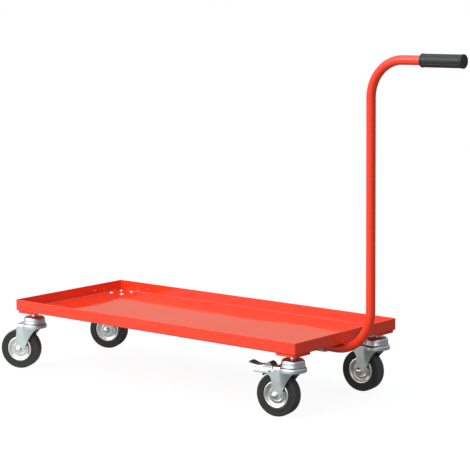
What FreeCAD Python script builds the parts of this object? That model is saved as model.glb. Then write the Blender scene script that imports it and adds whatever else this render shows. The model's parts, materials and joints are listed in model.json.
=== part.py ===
"""Tray-type wheel dolly: folded sheet tray, single bent push handle, four swivel casters, two with brakes.

Millimetres, +Z up, +X towards the handle, +Y to the far side. Everything is built about the middle of
the tray at floor level, then moved so that the origin is at the bottom centre of the whole dolly.
"""
import FreeCAD
import Part
import math
import os

V = FreeCAD.Vector

# ---- driving dimensions: tray ----
TRAY_LENGTH = 900.0
TRAY_WIDTH = 380.0
TRAY_DEPTH = 28.5
SHEET = 2.0
TRAY_BASE = 148.0            # height of the tray's underside above the ground
FLOOR_TOP = TRAY_BASE + SHEET
BEND_RADIUS = 4.0            # outside radius of the fold between floor and wall
CORNER_RADIUS = 2.5

# ---- caster places and the way each one trails at rest ----
SWIVEL_INSET = 32.5
SWIVEL_X = TRAY_LENGTH / 2 - SWIVEL_INSET
SWIVEL_Y = TRAY_WIDTH / 2 - SWIVEL_INSET
CASTERS = {
    "front_right": {"x": SWIVEL_X, "y": -SWIVEL_Y, "turn": 10.5, "brake": True},
    "back_right": {"x": SWIVEL_X, "y": SWIVEL_Y, "turn": 6.0, "brake": True},
    "front_left": {"x": -SWIVEL_X, "y": -SWIVEL_Y, "turn": 25.0, "brake": False},
    "back_left": {"x": -SWIVEL_X, "y": SWIVEL_Y, "turn": 24.0, "brake": False},
}

# ---- mounting plate under each corner ----
PLATE_SIDE = 62.0
PLATE_THICK = 5.0
PLATE_CUT = 8.0
PLATE_BOTTOM = TRAY_BASE - PLATE_THICK
SCREW_PITCH = 38.0
SCREW_R = 3.0
SCREW_HOLE_R = 3.3
SCREW_HEAD_R = 5.25
SCREW_HEAD_H = 3.3
SCREW_END = PLATE_BOTTOM + 0.5

# ---- caster: wheel, trail and fork ----
WHEEL_R = 50.0
TYRE_WIDTH = 29.0
SHOULDER_R = 4.0
TRAIL = 36.5
AXLE = V(-TRAIL, 0, WHEEL_R)     # in a caster's own frame: swivel axis at x = y = 0
FORK_SHEET = 3.0
FORK_INSIDE = 34.0
LEG_OUT = FORK_INSIDE / 2 + FORK_SHEET
LEG_END_R = 12.0
LEG_REAR_X = -40.0
CROWN_BOTTOM = 104.5
CROWN_TOP = CROWN_BOTTOM + FORK_SHEET
HEAD_TOP = 114.4             # top of the flat head behind the round crown
RING_R = 31.0
RING_TOP = 115.0

# ---- swivel head ----
CUP_R = 27.8
CUP_TOP = 134.5
CUP_BOTTOM = RING_TOP + 0.5
CUP_SHEET = 2.5
PIN_R = 6.0
PIN_FIT = 0.05
COLLAR_R = 7.0
UPPER_BALL_R = 3.0
UPPER_RING_R = CUP_R - CUP_SHEET - UPPER_BALL_R - 0.1
UPPER_BALL_Z = CUP_TOP - CUP_SHEET - UPPER_BALL_R - 0.1
UPPER_BALLS = 20
LOWER_BALL_R = 2.5
LOWER_RING_R = 12.0
CROWN_HUB_TOP = UPPER_BALL_Z + 0.5
LOWER_BALL_Z = CROWN_HUB_TOP - FORK_SHEET - LOWER_BALL_R - 0.1
LOWER_BALLS = 13

# ---- wheel parts ----
BUSH_R = 10.0
BUSH_HALF = FORK_INSIDE / 2 - 0.5
SLEEVE_R = 7.0
BOLT_R = 5.0
RIM_LIP_R = 31.5
RIM_LIP_FACE = 14.2

# ---- brake ----
PIVOT = V(-49.0, 0, 106.0)
PIVOT_R = 3.0
PEDAL_SHEET = 2.0
PEDAL_HALF = 13.5
PEDAL_REACH = 106.0
PEDAL_UNDER = 112.0
PEDAL_FRONT = -47.0
SHOE_GAP = 3.4
ARM_BOTTOM = 98.2
ARM_TOP = 108.3
ARM_REAR_X = -91.0

# ---- handle ----
TUBE_R = 10.65
TUBE_WALL = 2.0
TUBE_LOW_Z = TRAY_BASE - 15.65
TUBE_HIGH_Z = TRAY_BASE + 642.6
TUBE_UPRIGHT_X = TRAY_LENGTH / 2 + 64.7
TUBE_HIDDEN_X = TRAY_LENGTH / 2 - 240.0
LOW_BEND_R = 95.0
HIGH_BEND_R = 85.0
GRIP_START_X = TRAY_LENGTH / 2 + 200.0
GRIP_END_X = TRAY_LENGTH / 2 + 307.5
GRIP_R = 14.8
GRIP_COLLAR_R = 16.6
GRIP_COLLAR_W = 4.0
GRIP_END_WALL = 4.0
SADDLE_PLACES = (TRAY_LENGTH / 2 - 215.0, TRAY_LENGTH / 2 - 75.0)
SADDLE_WIDTH = 28.0
SADDLE_SHEET = 3.0
SADDLE_BOLT_Y = 26.0
SADDLE_HALF = 37.0
BEARER_BOTTOM = TUBE_LOW_Z + TUBE_R
BEARER_WIDTH = 40.0

UP = V(0, 0, 1)
ACROSS = V(0, 1, 0)


def box(x0, x1, y0, y1, z0, z1):
    """A box between two corners."""
    return Part.makeBox(x1 - x0, y1 - y0, z1 - z0, V(x0, y0, z0))


def rod(radius, start, end):
    """A round bar from one point to another."""
    along = end.sub(start)
    return Part.makeCylinder(radius, along.Length, start, along)


def hexagon(flats, start, end):
    """A hexagonal bar; flats is the distance across flats."""
    along = end.sub(start)
    side = V(1, 0, 0) if abs(along.x) < abs(along.z) + abs(along.y) else V(0, 0, 1)
    across = along.cross(side).normalize()
    side = across.cross(along).normalize()
    reach = flats / math.sqrt(3)
    points = []
    for k in range(7):
        a = math.radians(60 * k)
        points.append(start + side * (reach * math.cos(a)) + across * (reach * math.sin(a)))
    return Part.Face(Part.makePolygon(points)).extrude(along)


def turned(points):
    """A solid turned about Z from (radius, height) points."""
    corners = [V(r, 0, z) for r, z in points]
    face = Part.Face(Part.makePolygon(corners + corners[:1]))
    return face.revolve(V(0, 0, 0), UP, 360)


def turned_on_axle(points):
    """A solid turned about the wheel's axle from (radius, sideways) points."""
    shape = turned([(r, y) for r, y in points])
    shape.rotate(V(0, 0, 0), V(1, 0, 0), -90)
    shape.translate(AXLE)
    return shape


def arc(a, b, c):
    """An arc edge through three points."""
    return Part.Arc(a, b, c).toShape()


def line(a, b):
    """A straight edge."""
    return Part.makeLine(a, b)


def side_plate(edges, y0, y1):
    """A flat plate whose outline lies in the XZ plane, between two sideways positions."""
    face = Part.Face(Part.Wire(edges))
    face.translate(V(0, y0, 0))
    return face.extrude(V(0, y1 - y0, 0))


# ---- tray and what is fastened to it ----

def screw_places(corner):
    """The four screw positions of one mounting plate."""
    half = SCREW_PITCH / 2
    return [V(corner["x"] + i * half, corner["y"] + j * half, 0) for i in (-1, 1) for j in (-1, 1)]


def all_screw_places():
    return [p for corner in CASTERS.values() for p in screw_places(corner)]


def rectangle(half_length, half_width):
    """Corners of a rectangle about the origin, in order round it."""
    return [(half_length, half_width), (-half_length, half_width),
            (-half_length, -half_width), (half_length, -half_width)]


def tray():
    """Folded pan, in five solids that meet face to face: the floor, and each low wall with its fold."""
    half_l = TRAY_LENGTH / 2
    half_w = TRAY_WIDTH / 2
    top = TRAY_BASE + TRAY_DEPTH

    def block(inset, z0, z1, corner, fold):
        body = box(-half_l + inset, half_l - inset, -half_w + inset, half_w - inset, z0, z1)
        upright = [e for e in body.Edges if abs(e.BoundBox.ZLength - (z1 - z0)) < 0.01]
        body = body.makeFillet(corner, upright)
        bottom = [e for e in body.Edges if e.BoundBox.ZMax < z0 + 0.01]
        return body.makeFillet(fold, bottom)

    pan = block(0, TRAY_BASE, top, CORNER_RADIUS + 2, BEND_RADIUS)
    pan = pan.cut(block(SHEET, FLOOR_TOP, top + 20, CORNER_RADIUS, BEND_RADIUS - SHEET))
    below, above = UP * (TRAY_BASE - 1), UP * (FLOOR_TOP + 1)
    holes = [rod(SCREW_HOLE_R, p + below, p + above) for p in all_screw_places()]
    pan = pan.cut(Part.makeCompound(holes))

    margin = 1.0
    outer = rectangle(TRAY_LENGTH / 2 + margin, TRAY_WIDTH / 2 + margin)
    inner = rectangle(TRAY_LENGTH / 2 - BEND_RADIUS, TRAY_WIDTH / 2 - BEND_RADIUS)
    areas = [inner]
    for k in range(4):
        areas.append([outer[k - 1], outer[k], inner[k], inner[k - 1]])
    pieces = []
    for area in areas:
        points = [V(x, y, TRAY_BASE - margin) for x, y in area]
        prism = Part.Face(Part.makePolygon(points + points[:1])).extrude(UP * (TRAY_DEPTH + 2 * margin))
        pieces += pan.common(prism).Solids
    return Part.makeCompound(pieces)


def mounting_plates():
    """Square plates with cut corners, tapped for the screws; a king pin is riveted into each one's middle."""
    plates = []
    h = PLATE_SIDE / 2
    c = PLATE_CUT
    outline = [(c - h, -h), (h - c, -h), (h, c - h), (h, h - c),
               (h - c, h), (c - h, h), (-h, h - c), (-h, c - h)]
    for corner in CASTERS.values():
        points = [V(corner["x"] + x, corner["y"] + y, PLATE_BOTTOM) for x, y in outline]
        plate = Part.Face(Part.makePolygon(points + points[:1])).extrude(UP * PLATE_THICK)
        centre = V(corner["x"], corner["y"], PLATE_BOTTOM)
        cuts = [rod(PIN_R + PIN_FIT, centre - UP, centre + UP * (PLATE_THICK + 1))]
        for p in screw_places(corner):
            cuts.append(rod(SCREW_R, p + UP * (PLATE_BOTTOM - 1), p + UP * (TRAY_BASE + 1)))
        plates.append(plate.cut(Part.makeCompound(cuts)))
    return Part.makeCompound(plates)


def plate_screws():
    """Button-head screws down through the floor into the tapped plate."""
    screws = []
    for p in all_screw_places():
        head = turned([(0, 0), (SCREW_HEAD_R, 0), (SCREW_HEAD_R, 0.9), (4.4, 2.3), (2.6, SCREW_HEAD_H),
                       (2.0, SCREW_HEAD_H), (2.0, 1.2), (0, 1.2)])
        head.translate(p + UP * FLOOR_TOP)
        screws.append(head.fuse(rod(SCREW_R, p + UP * SCREW_END, p + UP * (FLOOR_TOP + 0.5))))
    return Part.makeCompound(screws)


# ---- handle ----

def tube_route():
    """Centre line of the handle: under the tray, round, up, round and out over the grip."""
    low, high = TUBE_LOW_Z, TUBE_HIGH_Z
    up_x = TUBE_UPRIGHT_X
    r, s = LOW_BEND_R, HIGH_BEND_R
    q = math.sqrt(0.5)
    a = V(TUBE_HIDDEN_X, 0, low)
    b = V(up_x - r, 0, low)
    c = V(up_x, 0, low + r)
    d = V(up_x, 0, high - s)
    e = V(up_x + s, 0, high)
    f = V(GRIP_END_X - GRIP_END_WALL, 0, high)
    bc = V(up_x - r + r * q, 0, low + r - r * q)
    de = V(up_x + s - s * q, 0, high - s + s * q)
    return Part.Wire([line(a, b), arc(b, bc, c), line(c, d), arc(d, de, e), line(e, f)])


def handle_tube():
    route = tube_route()
    start = V(TUBE_HIDDEN_X, 0, TUBE_LOW_Z)

    def swept(radius):
        ring = Part.Wire(Part.makeCircle(radius, start, V(1, 0, 0)))
        return route.makePipeShell([ring], True, False)

    return swept(TUBE_R).cut(swept(TUBE_R - TUBE_WALL))


def handle_bearers():
    """Flat bars welded across under the floor, tapped for the saddle bolts."""
    bars = []
    for x in SADDLE_PLACES:
        half = BEARER_WIDTH / 2
        bar = box(x - half, x + half, -SADDLE_HALF, SADDLE_HALF, BEARER_BOTTOM, TRAY_BASE)
        for side in (-1, 1):
            at = V(x, side * SADDLE_BOLT_Y, 0)
            bar = bar.cut(rod(4.0, at + UP * (BEARER_BOTTOM - 1), at + UP * (TRAY_BASE - 0.5)))
        bars.append(bar)
    return Part.makeCompound(bars)


def handle_saddles():
    """Pressed straps that hold the tube up against the bearers."""
    straps = []
    inner = TUBE_R + 0.1
    outer = inner + SADDLE_SHEET
    axis_z = TUBE_LOW_Z
    for x in SADDLE_PLACES:
        x0 = x - SADDLE_WIDTH / 2
        x1 = x + SADDLE_WIDTH / 2
        strap = rod(outer, V(x0, 0, axis_z), V(x1, 0, axis_z))
        strap = strap.fuse(box(x0, x1, -outer, outer, axis_z, BEARER_BOTTOM))
        ears_z = BEARER_BOTTOM - SADDLE_SHEET
        strap = strap.fuse(box(x0, x1, -SADDLE_HALF, SADDLE_HALF, ears_z, BEARER_BOTTOM))
        strap = strap.cut(rod(inner, V(x0 - 1, 0, axis_z), V(x1 + 1, 0, axis_z)))
        strap = strap.cut(box(x0 - 1, x1 + 1, -inner, inner, axis_z, BEARER_BOTTOM + 5))
        strap = strap.common(box(x0, x1, -SADDLE_HALF, SADDLE_HALF, 0, BEARER_BOTTOM))
        for side in (-1, 1):
            at = V(x, side * SADDLE_BOLT_Y, 0)
            strap = strap.cut(rod(4.2, at + UP * (BEARER_BOTTOM - 10), at + UP * (BEARER_BOTTOM + 1)))
        straps.append(strap)
    return Part.makeCompound(straps)


def saddle_bolts():
    """Hexagon bolts up through the saddles into the bearers."""
    bolts = []
    seat = BEARER_BOTTOM - SADDLE_SHEET
    for x in SADDLE_PLACES:
        for side in (-1, 1):
            at = V(x, side * SADDLE_BOLT_Y, 0)
            head = hexagon(13.0, at + UP * (seat - 5.3), at + UP * seat)
            bolts.append(head.fuse(rod(4.0, at + UP * (seat - 1), at + UP * (TRAY_BASE - 0.5))))
    return Part.makeCompound(bolts)


def handle_grip():
    """Moulded grip with a collar at each end, closed at the far end."""
    length = GRIP_END_X - GRIP_START_X
    r, c, w = GRIP_R, GRIP_COLLAR_R, GRIP_COLLAR_W
    bore = TUBE_R + 0.05
    grip = turned([(bore, 0), (r - 0.4, 0), (r + 0.6, 1), (r + 0.6, w - 1), (r, w), (r, length - w - 1),
                   (c - 1.5, length - w), (c - 1, length - w + 1), (c - 1, length - 1.5), (c - 2.5, length),
                   (0, length), (0, length - GRIP_END_WALL), (bore, length - GRIP_END_WALL)])
    grip.rotate(V(0, 0, 0), ACROSS, 90)
    grip.translate(V(GRIP_START_X, 0, TUBE_HIGH_Z))
    return grip


# ---- caster head, in the caster's own frame ----

def swivel_cup():
    """Pressed upper race: a dome open below, clamped by the king pin's collar."""
    bore = PIN_R + PIN_FIT
    inner = CUP_R - CUP_SHEET
    ceiling = CUP_TOP - CUP_SHEET
    reach = (inner - UPPER_RING_R) * math.sqrt(0.5)     # the inside corner is the balls' own track
    edges = [line(V(bore, 0, CUP_TOP), V(CUP_R - 10, 0, CUP_TOP)),
             arc(V(CUP_R - 10, 0, CUP_TOP), V(CUP_R - 3.6, 0, CUP_TOP - 3.2), V(CUP_R - 0.8, 0, CUP_TOP - 9)),
             line(V(CUP_R - 0.8, 0, CUP_TOP - 9), V(CUP_R, 0, CUP_BOTTOM)),
             line(V(CUP_R, 0, CUP_BOTTOM), V(inner, 0, CUP_BOTTOM)),
             line(V(inner, 0, CUP_BOTTOM), V(inner, 0, UPPER_BALL_Z)),
             arc(V(inner, 0, UPPER_BALL_Z), V(UPPER_RING_R + reach, 0, UPPER_BALL_Z + reach),
                 V(UPPER_RING_R, 0, ceiling)),
             line(V(UPPER_RING_R, 0, ceiling), V(bore, 0, ceiling)),
             line(V(bore, 0, ceiling), V(bore, 0, CUP_TOP))]
    return Part.Face(Part.Wire(edges)).revolve(V(0, 0, 0), UP, 360)


def king_pin():
    """Riveted in the plate above, with a collar on the cup and the lower race plate below the crown."""
    race = LOWER_BALL_Z - LOWER_BALL_R - 0.1
    return turned([(0, TRAY_BASE), (PIN_R, TRAY_BASE), (PIN_R, PLATE_BOTTOM), (COLLAR_R, PLATE_BOTTOM),
                   (COLLAR_R, CUP_TOP), (PIN_R, CUP_TOP), (PIN_R, race), (16.5, race), (16.5, race - 4),
                   (9, race - 6), (9, race - 13), (5, race - 13), (5, race - 16), (0, race - 16)])


def race_balls():
    """Both rings of bearing balls, above and below the crown."""
    balls = []
    rings = ((UPPER_BALLS, UPPER_RING_R, UPPER_BALL_Z, UPPER_BALL_R - 0.05),
             (LOWER_BALLS, LOWER_RING_R, LOWER_BALL_Z, LOWER_BALL_R - 0.05))
    for count, ring, height, radius in rings:
        for k in range(count):
            a = 2 * math.pi * k / count
            balls.append(Part.makeSphere(radius, V(ring * math.cos(a), ring * math.sin(a), height)))
    return Part.makeCompound(balls)


def crown():
    """Round raised head of the fork, with the ball track drawn up inside the cup."""
    hole = PIN_R + PIN_FIT
    low, top, hub = CROWN_BOTTOM, RING_TOP, CROWN_HUB_TOP
    foot_r = CUP_R - CUP_SHEET - 1.0       # where the raised hub meets the flat ring
    hub_r = UPPER_RING_R - UPPER_BALL_R - 1.0
    sheet = FORK_SHEET
    edges = [line(V(RING_R, 0, low), V(RING_R, 0, top - 4)),
             arc(V(RING_R, 0, top - 4), V(RING_R - 1.2, 0, top - 1.2), V(RING_R - 4, 0, top)),
             line(V(RING_R - 4, 0, top), V(foot_r, 0, top)),
             line(V(foot_r, 0, top), V(hub_r, 0, hub)),
             line(V(hub_r, 0, hub), V(hole, 0, hub)),
             line(V(hole, 0, hub), V(hole, 0, hub - sheet)),
             line(V(hole, 0, hub - sheet), V(hub_r - 1.8, 0, hub - sheet)),
             line(V(hub_r - 1.8, 0, hub - sheet), V(foot_r - 2.2, 0, top - sheet)),
             line(V(foot_r - 2.2, 0, top - sheet), V(RING_R - sheet, 0, top - sheet)),
             line(V(RING_R - sheet, 0, top - sheet), V(RING_R - sheet, 0, low)),
             line(V(RING_R - sheet, 0, low), V(RING_R, 0, low))]
    return Part.Face(Part.Wire(edges)).revolve(V(0, 0, 0), UP, 360)


def leg_outline(brake):
    """Side outline of a fork leg; the braked fork reaches back to carry the pedal."""
    ax, az, r = AXLE.x, AXLE.z, LEG_END_R
    knee_x = -RING_R + 8.5
    front_top = V(17, 0, CROWN_TOP)
    front_low = V(ax + r + 4, 0, az + 4)
    rear_low = V(ax - r + 4, 0, az + 3)
    rear_top = V(LEG_REAR_X, 0, HEAD_TOP)
    edges = [line(rear_top, V(knee_x, 0, HEAD_TOP)), line(V(knee_x, 0, HEAD_TOP), V(knee_x, 0, CROWN_TOP)),
             line(V(knee_x, 0, CROWN_TOP), front_top), arc(front_top, V(-8.5, 0, 77), front_low),
             arc(front_low, V(ax + 3, 0, az - r + 1), rear_low)]
    if not brake:
        return edges + [line(rear_low, rear_top)]
    bend = V(ax - r + 4, 0, 81)
    flare = V(ax - r - 6.5, 0, ARM_BOTTOM)
    heel = V(ARM_REAR_X + 6, 0, ARM_BOTTOM)
    tail = V(ARM_REAR_X, 0, ARM_TOP)
    return edges + [line(rear_low, bend), arc(bend, V(ax - r + 1, 0, 91), flare), line(flare, heel),
                    arc(heel, V(ARM_REAR_X + 1.2, 0, ARM_BOTTOM + 2.8), tail),
                    line(tail, V(LEG_REAR_X, 0, ARM_TOP)), line(V(LEG_REAR_X, 0, ARM_TOP), rear_top)]


def fork(brake):
    """Pressed fork: round crown, flat saddle behind it and two legs."""
    inside = FORK_INSIDE / 2
    saddle = box(LEG_REAR_X, 0, -LEG_OUT, LEG_OUT, HEAD_TOP - FORK_SHEET, HEAD_TOP)
    saddle = saddle.cut(Part.makeCylinder(RING_R - 0.5, 20, V(0, 0, CROWN_BOTTOM)))
    body = crown().fuse(saddle)
    for side in (-1, 1):
        y0, y1 = sorted((side * inside, side * LEG_OUT))
        leg = side_plate(leg_outline(brake), y0, y1)
        leg = leg.cut(rod(BOLT_R + PIN_FIT, AXLE + V(0, y0 - 1, 0), AXLE + V(0, y1 + 1, 0)))
        if brake:
            leg = leg.cut(rod(PIVOT_R, PIVOT + V(0, y0 - 1, 0), PIVOT + V(0, y1 + 1, 0)))
        root = box(-RING_R + 8, 15, y0, y1, CROWN_BOTTOM, RING_TOP - 2)
        body = body.fuse(leg).fuse(root)
    return body.removeSplitter()


# ---- wheel, in the caster's own frame ----

def tyre():
    """Solid rubber tyre with rounded shoulders, clamped between the rim halves."""
    half = TYRE_WIDTH / 2
    r = WHEEL_R
    profile = [V(24.9, 0, 5.2), V(27.8, 0, 12.4), V(RIM_LIP_R + 0.4, 0, 12.4),
               V(RIM_LIP_R + 0.8, 0, half - 0.4), V(RIM_LIP_R + 2.5, 0, half)]
    start = V(r - SHOULDER_R, 0, half)
    shoulder = V(r - 0.293 * SHOULDER_R, 0, half - 0.293 * SHOULDER_R)
    end = V(r, 0, half - SHOULDER_R)

    def mirrored(p):
        return V(p.x, 0, -p.z)

    edges = [line(profile[k], profile[k + 1]) for k in range(len(profile) - 1)]
    edges += [line(profile[-1], start), arc(start, shoulder, end), line(end, mirrored(end)),
              arc(mirrored(end), mirrored(shoulder), mirrored(start)),
              line(mirrored(start), mirrored(profile[-1]))]
    edges += [line(mirrored(profile[k + 1]), mirrored(profile[k])) for k in reversed(range(len(profile) - 1))]
    edges.append(line(mirrored(profile[0]), profile[0]))
    shape = Part.Face(Part.Wire(Part.__sortEdges__(edges))).revolve(V(0, 0, 0), UP, 360)
    shape.rotate(V(0, 0, 0), V(1, 0, 0), -90)
    shape.translate(AXLE)
    return shape


def rim_half(side):
    """Pressed disc: hub collar, cone, web, wall and the bright lip over the tyre."""
    bore = BUSH_R + PIN_FIT
    face = RIM_LIP_FACE
    lip = RIM_LIP_R
    outline = [(bore, 13.6), (12.0, 13.6), (16.2, 7.4), (22.0, 7.0), (25.0, face - 1.0), (26.2, face),
               (lip - 0.6, face), (lip, face - 0.6), (lip, face - 1.6), (27.5, face - 1.8), (24.3, 5.2),
               (15.4, 5.6), (11.8, 11.2), (bore, 11.2)]
    return turned_on_axle([(r, side * y) for r, y in outline])


def hub_bush():
    """Plain bearing in the wheel, turning on the axle sleeve."""
    reach = V(0, BUSH_HALF, 0)
    bore = rod(SLEEVE_R + PIN_FIT, AXLE - reach * 1.1, AXLE + reach * 1.1)
    return rod(BUSH_R, AXLE - reach, AXLE + reach).cut(bore)


def axle_sleeve():
    """Steel tube clamped between the fork legs by the axle bolt."""
    reach = V(0, FORK_INSIDE / 2, 0)
    bore = rod(BOLT_R + PIN_FIT, AXLE - reach * 1.1, AXLE + reach * 1.1)
    return rod(SLEEVE_R, AXLE - reach, AXLE + reach).cut(bore)


def axle_bolt():
    """Hexagon bolt with a domed head on the outer side of the leg."""
    seat = AXLE - V(0, LEG_OUT, 0)
    head = hexagon(15.0, seat - V(0, 5.5, 0), seat)
    head = head.common(Part.makeSphere(13.0, seat + V(0, 7.0, 0)))
    washer = rod(9.0, seat - V(0, 1.2, 0), seat)
    shank = rod(BOLT_R, seat - V(0, 1, 0), AXLE + V(0, LEG_OUT + 9.5, 0))
    return head.fuse(washer).fuse(shank)


def axle_nut():
    seat = AXLE + V(0, LEG_OUT, 0)
    nut = hexagon(15.0, seat, seat + V(0, 7.5, 0))
    return nut.cut(rod(BOLT_R, seat - V(0, 1, 0), seat + V(0, 9, 0)))


# ---- brake, in the caster's own frame ----

def tread_outline():
    """Side outline of the pedal's tread: outer toe turned up, a dip, and the inner release toe."""
    back, front = -PEDAL_REACH, PEDAL_FRONT
    under, top = PEDAL_UNDER, PEDAL_UNDER + 2.2
    outer_toe, inner_toe = under + 8.8, under + 10.6
    dip = V(-80, 0, top)
    return [line(V(front, 0, under), V(back + 8, 0, under)),
            line(V(back + 8, 0, under), V(back, 0, outer_toe - 1.6)),
            line(V(back, 0, outer_toe - 1.6), V(back + 1.6, 0, outer_toe)),
            line(V(back + 1.6, 0, outer_toe), V(back + 11, 0, top + 0.8)),
            arc(V(back + 11, 0, top + 0.8), dip, V(-70, 0, top + 1.6)),
            arc(V(-70, 0, top + 1.6), V(-62.5, 0, inner_toe - 2.6), V(-55, 0, inner_toe)),
            line(V(-55, 0, inner_toe), V(front + 1.5, 0, inner_toe - 0.8)),
            line(V(front + 1.5, 0, inner_toe - 0.8), V(front, 0, under))]


def flange_outline():
    """Side outline of the pedal's flange, rounded about the pivot pin."""
    px, pz = PIVOT.x, PIVOT.z
    r = 5.0
    back = -PEDAL_REACH + 10
    return [line(V(px + r, 0, pz), V(px + r, 0, PEDAL_UNDER + 1)),
            line(V(px + r, 0, PEDAL_UNDER + 1), V(back, 0, PEDAL_UNDER + 1)),
            line(V(back, 0, PEDAL_UNDER + 1), V(back + 3, 0, pz)),
            line(V(back + 3, 0, pz), V(px - 12, 0, pz - 1.5)),
            line(V(px - 12, 0, pz - 1.5), V(px - 3, 0, pz - 4)),
            arc(V(px - 3, 0, pz - 4), V(px + 3, 0, pz - 4), V(px + r, 0, pz))]


def brake_pedal():
    """Tread with two toes on a pair of side flanges that turn on the pivot pin between the fork arms."""
    body = side_plate(tread_outline(), -PEDAL_HALF, PEDAL_HALF)
    for side in (-1, 1):
        y0, y1 = sorted((side * (PEDAL_HALF - PEDAL_SHEET), side * PEDAL_HALF))
        flange = side_plate(flange_outline(), y0, y1)
        body = body.fuse(flange.cut(rod(PIVOT_R + 0.06, PIVOT + V(0, y0 - 1, 0), PIVOT + V(0, y1 + 1, 0))))
    return body.removeSplitter()


def brake_shoe():
    """Curved friction block hung from the tread, facing the tyre behind the pivot."""
    half = PEDAL_HALF - PEDAL_SHEET - 0.05
    inner = WHEEL_R + SHOE_GAP
    reach = V(0, half, 0)
    ring = rod(inner + 6, AXLE - reach, AXLE + reach).cut(rod(inner, AXLE - reach * 1.1, AXLE + reach * 1.1))
    pad = ring.common(box(-72, -58, -half, half, 60, 112))
    post = box(-69, -60, -8, 8, 95, PEDAL_UNDER)
    post = post.cut(rod(inner + 3, AXLE - reach, AXLE + reach))
    return pad.fuse(post).removeSplitter()


def brake_pin():
    """Headed pin through both fork arms, carrying the pedal."""
    reach = V(0, LEG_OUT, 0)
    shank = rod(PIVOT_R - 0.01, PIVOT - reach, PIVOT + reach)
    for side in (-1, 1):
        start = PIVOT + reach * side
        shank = shank.fuse(rod(4.6, start, start + V(0, side * 1.6, 0)))
    return shank


def caster_parts(brake):
    """Every piece of one caster, unturned, with its swivel axis at the origin."""
    parts = {
        "swivel_cup": swivel_cup(), "king_pin": king_pin(), "race_balls": race_balls(),
        "fork": fork(brake), "axle_bolt": axle_bolt(), "axle_nut": axle_nut(), "axle_sleeve": axle_sleeve(),
        "hub_bush": hub_bush(), "rim_outer": rim_half(-1), "rim_inner": rim_half(1), "tyre": tyre(),
    }
    if brake:
        parts.update({"brake_pedal": brake_pedal(), "brake_shoe": brake_shoe(), "brake_pin": brake_pin()})
    return parts


def placed_caster(place):
    """The pieces of a caster, turned the way it trails and moved under its corner."""
    parts = caster_parts(place["brake"])
    for shape in parts.values():
        shape.rotate(V(0, 0, 0), UP, place["turn"])
        shape.translate(V(place["x"], place["y"], 0))
    return parts


def build():
    """All nodes by name, with the origin at the bottom centre of the whole dolly, and the shift used."""
    nodes = {
        "tray": tray(), "mounting_plates": mounting_plates(), "plate_screws": plate_screws(),
        "handle_tube": handle_tube(), "handle_bearers": handle_bearers(), "handle_saddles": handle_saddles(),
        "saddle_bolts": saddle_bolts(), "handle_grip": handle_grip(),
    }
    for name, place in CASTERS.items():
        for piece, shape in placed_caster(place).items():
            nodes[f"{name}_{piece}"] = shape
    whole = FreeCAD.BoundBox()
    for shape in nodes.values():
        whole.add(shape.optimalBoundingBox(False))
    shift = V(-(whole.XMin + whole.XMax) / 2, -(whole.YMin + whole.YMax) / 2, -whole.ZMin)
    for shape in nodes.values():
        shape.translate(shift)
    return nodes, shift


NODES, SHIFT = build()
os.makedirs("parts", exist_ok=True)
for node, solid in NODES.items():
    solid.exportStep(f"parts/{node}.step")
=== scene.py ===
import json
import math

import bmesh
import bpy
from mathutils import Matrix, Vector, noise


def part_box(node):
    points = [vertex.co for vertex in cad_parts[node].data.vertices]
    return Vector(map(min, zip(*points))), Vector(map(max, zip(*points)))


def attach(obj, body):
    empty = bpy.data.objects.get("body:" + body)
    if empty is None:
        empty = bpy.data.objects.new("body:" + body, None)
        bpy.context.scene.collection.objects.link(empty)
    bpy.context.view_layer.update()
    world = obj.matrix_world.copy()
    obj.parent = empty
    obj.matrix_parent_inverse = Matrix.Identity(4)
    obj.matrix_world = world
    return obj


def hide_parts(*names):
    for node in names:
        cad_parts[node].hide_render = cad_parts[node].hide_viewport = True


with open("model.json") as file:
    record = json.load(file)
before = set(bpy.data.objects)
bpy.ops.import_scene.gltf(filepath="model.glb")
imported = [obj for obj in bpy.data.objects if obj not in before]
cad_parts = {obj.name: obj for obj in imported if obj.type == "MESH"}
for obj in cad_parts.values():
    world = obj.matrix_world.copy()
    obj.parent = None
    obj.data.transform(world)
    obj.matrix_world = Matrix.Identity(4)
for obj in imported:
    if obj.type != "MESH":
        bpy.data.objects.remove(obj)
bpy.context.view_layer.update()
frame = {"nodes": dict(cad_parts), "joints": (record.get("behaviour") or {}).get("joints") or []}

MM = 0.001
TO_METRES = Matrix.Scale(MM, 4)


def node_box(name):
    """Lowest and highest corner of a frame node, in millimetres."""
    low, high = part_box(name)
    return low / MM, high / MM


TRAY_LOW, TRAY_HIGH = node_box("tray")
TRAY_MIDDLE = (TRAY_LOW + TRAY_HIGH) / 2
JOINTS = {joint["name"]: joint for joint in frame["joints"]}
CASTERS = [name[:-len("_swivel")] for name in JOINTS if name.endswith("_swivel")]
BRAKED = [caster for caster in CASTERS if caster + "_brake" in JOINTS]

# ---- sizes of the pieces, in millimetres ----
SHEET = 2.0                 # tray sheet
FLOOR_TOP = TRAY_LOW.z + SHEET
PLATE_BOTTOM = node_box("mounting_plates")[0].z
SCREW_PITCH = 38.0
WHEEL_R = 50.0
TYRE_HALF = 14.5
TRAIL = 36.5
AXLE = Vector((-TRAIL, 0, WHEEL_R))
LEG_OUT = 20.0
LEG_SHEET = 3.0
LEG_REAR_X = -40.0
CREASE_X = -21.5
HEAD_TOP = 114.4            # top of the fork's flat head behind its round crown
FOLD = 4.4                  # radius of the bend along the top of each leg
LEG_CLEAR = 13.9            # the legs' inner faces stay outside this, clear of the pedal
LEG_END_R = 12.0            # round lower end of each leg
CROWN_BOTTOM = 104.5
CROWN_TOP = CROWN_BOTTOM + LEG_SHEET
RING_R = 31.0
RING_TOP = 115.0
CUP_R = 27.8
CUP_TOP = 134.5
CUP_BOTTOM = RING_TOP + 0.5
COLLAR_R = 7.0
RIM_LIP_R = 31.5
RIM_LIP_FACE = 14.2
ARM_BOTTOM = 98.2
ARM_TOP = 108.3
ARM_REAR_X = -91.0
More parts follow.
